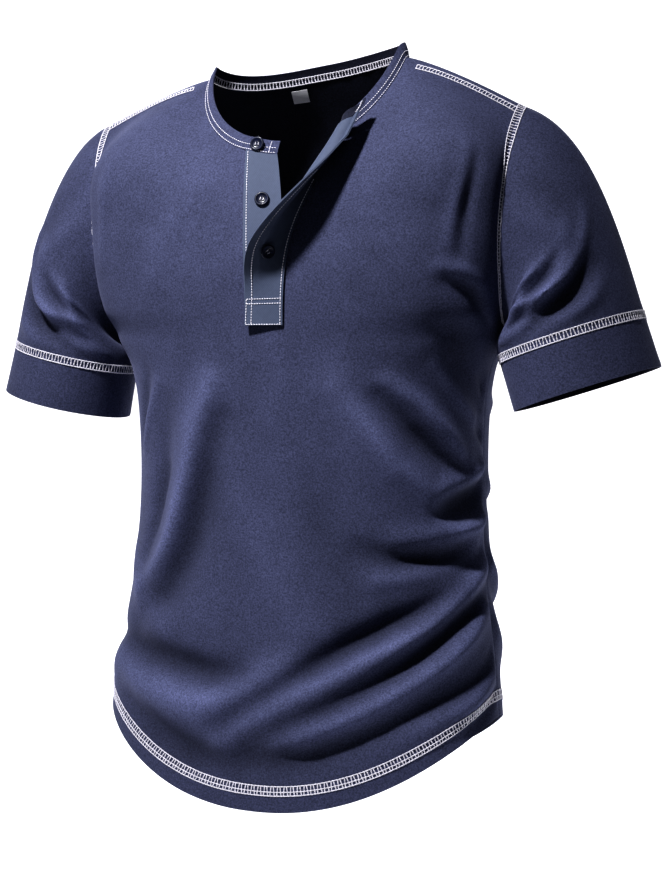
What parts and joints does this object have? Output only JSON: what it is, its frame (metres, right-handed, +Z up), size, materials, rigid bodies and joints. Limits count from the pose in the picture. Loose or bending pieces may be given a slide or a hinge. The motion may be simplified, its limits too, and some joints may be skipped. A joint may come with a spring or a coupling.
{
  "type": "henley shirt",
  "caption": "Short-sleeve henley shirt in its worn, hollow form, with an open buttoned placket, contrast flatlock seams and a curved hem.",
  "frame": {"origin": "midway between the shoulders at the base of the neck, where the wearer's shoulders hold the shirt up", "axes": "+Z up along the body, -Y out of the chest, +X to the wearer's left"},
  "size_m": [0.6811, 0.2569, 0.7226],
  "materials": {
    "navy_jersey": "matte brushed cotton jersey",
    "slate_twill": "matte cotton twill",
    "dark_button": "polished polyester resin",
    "label_tape": "woven tape",
    "contrast_thread": "polyester sewing thread"
  },
  "bodies": {
    "root": {"front_panel": "navy_jersey", "back_panel": "navy_jersey", "sleeve_left": "navy_jersey", "sleeve_right": "navy_jersey", "cuff_left": "navy_jersey", "cuff_right": "navy_jersey", "neckband": "navy_jersey", "button_stand": "slate_twill", "buttonhole_band": "slate_twill", "button_1": "dark_button", "button_2": "dark_button", "button_3": "dark_button", "size_label": "label_tape"}
  },
  "joints": []
}
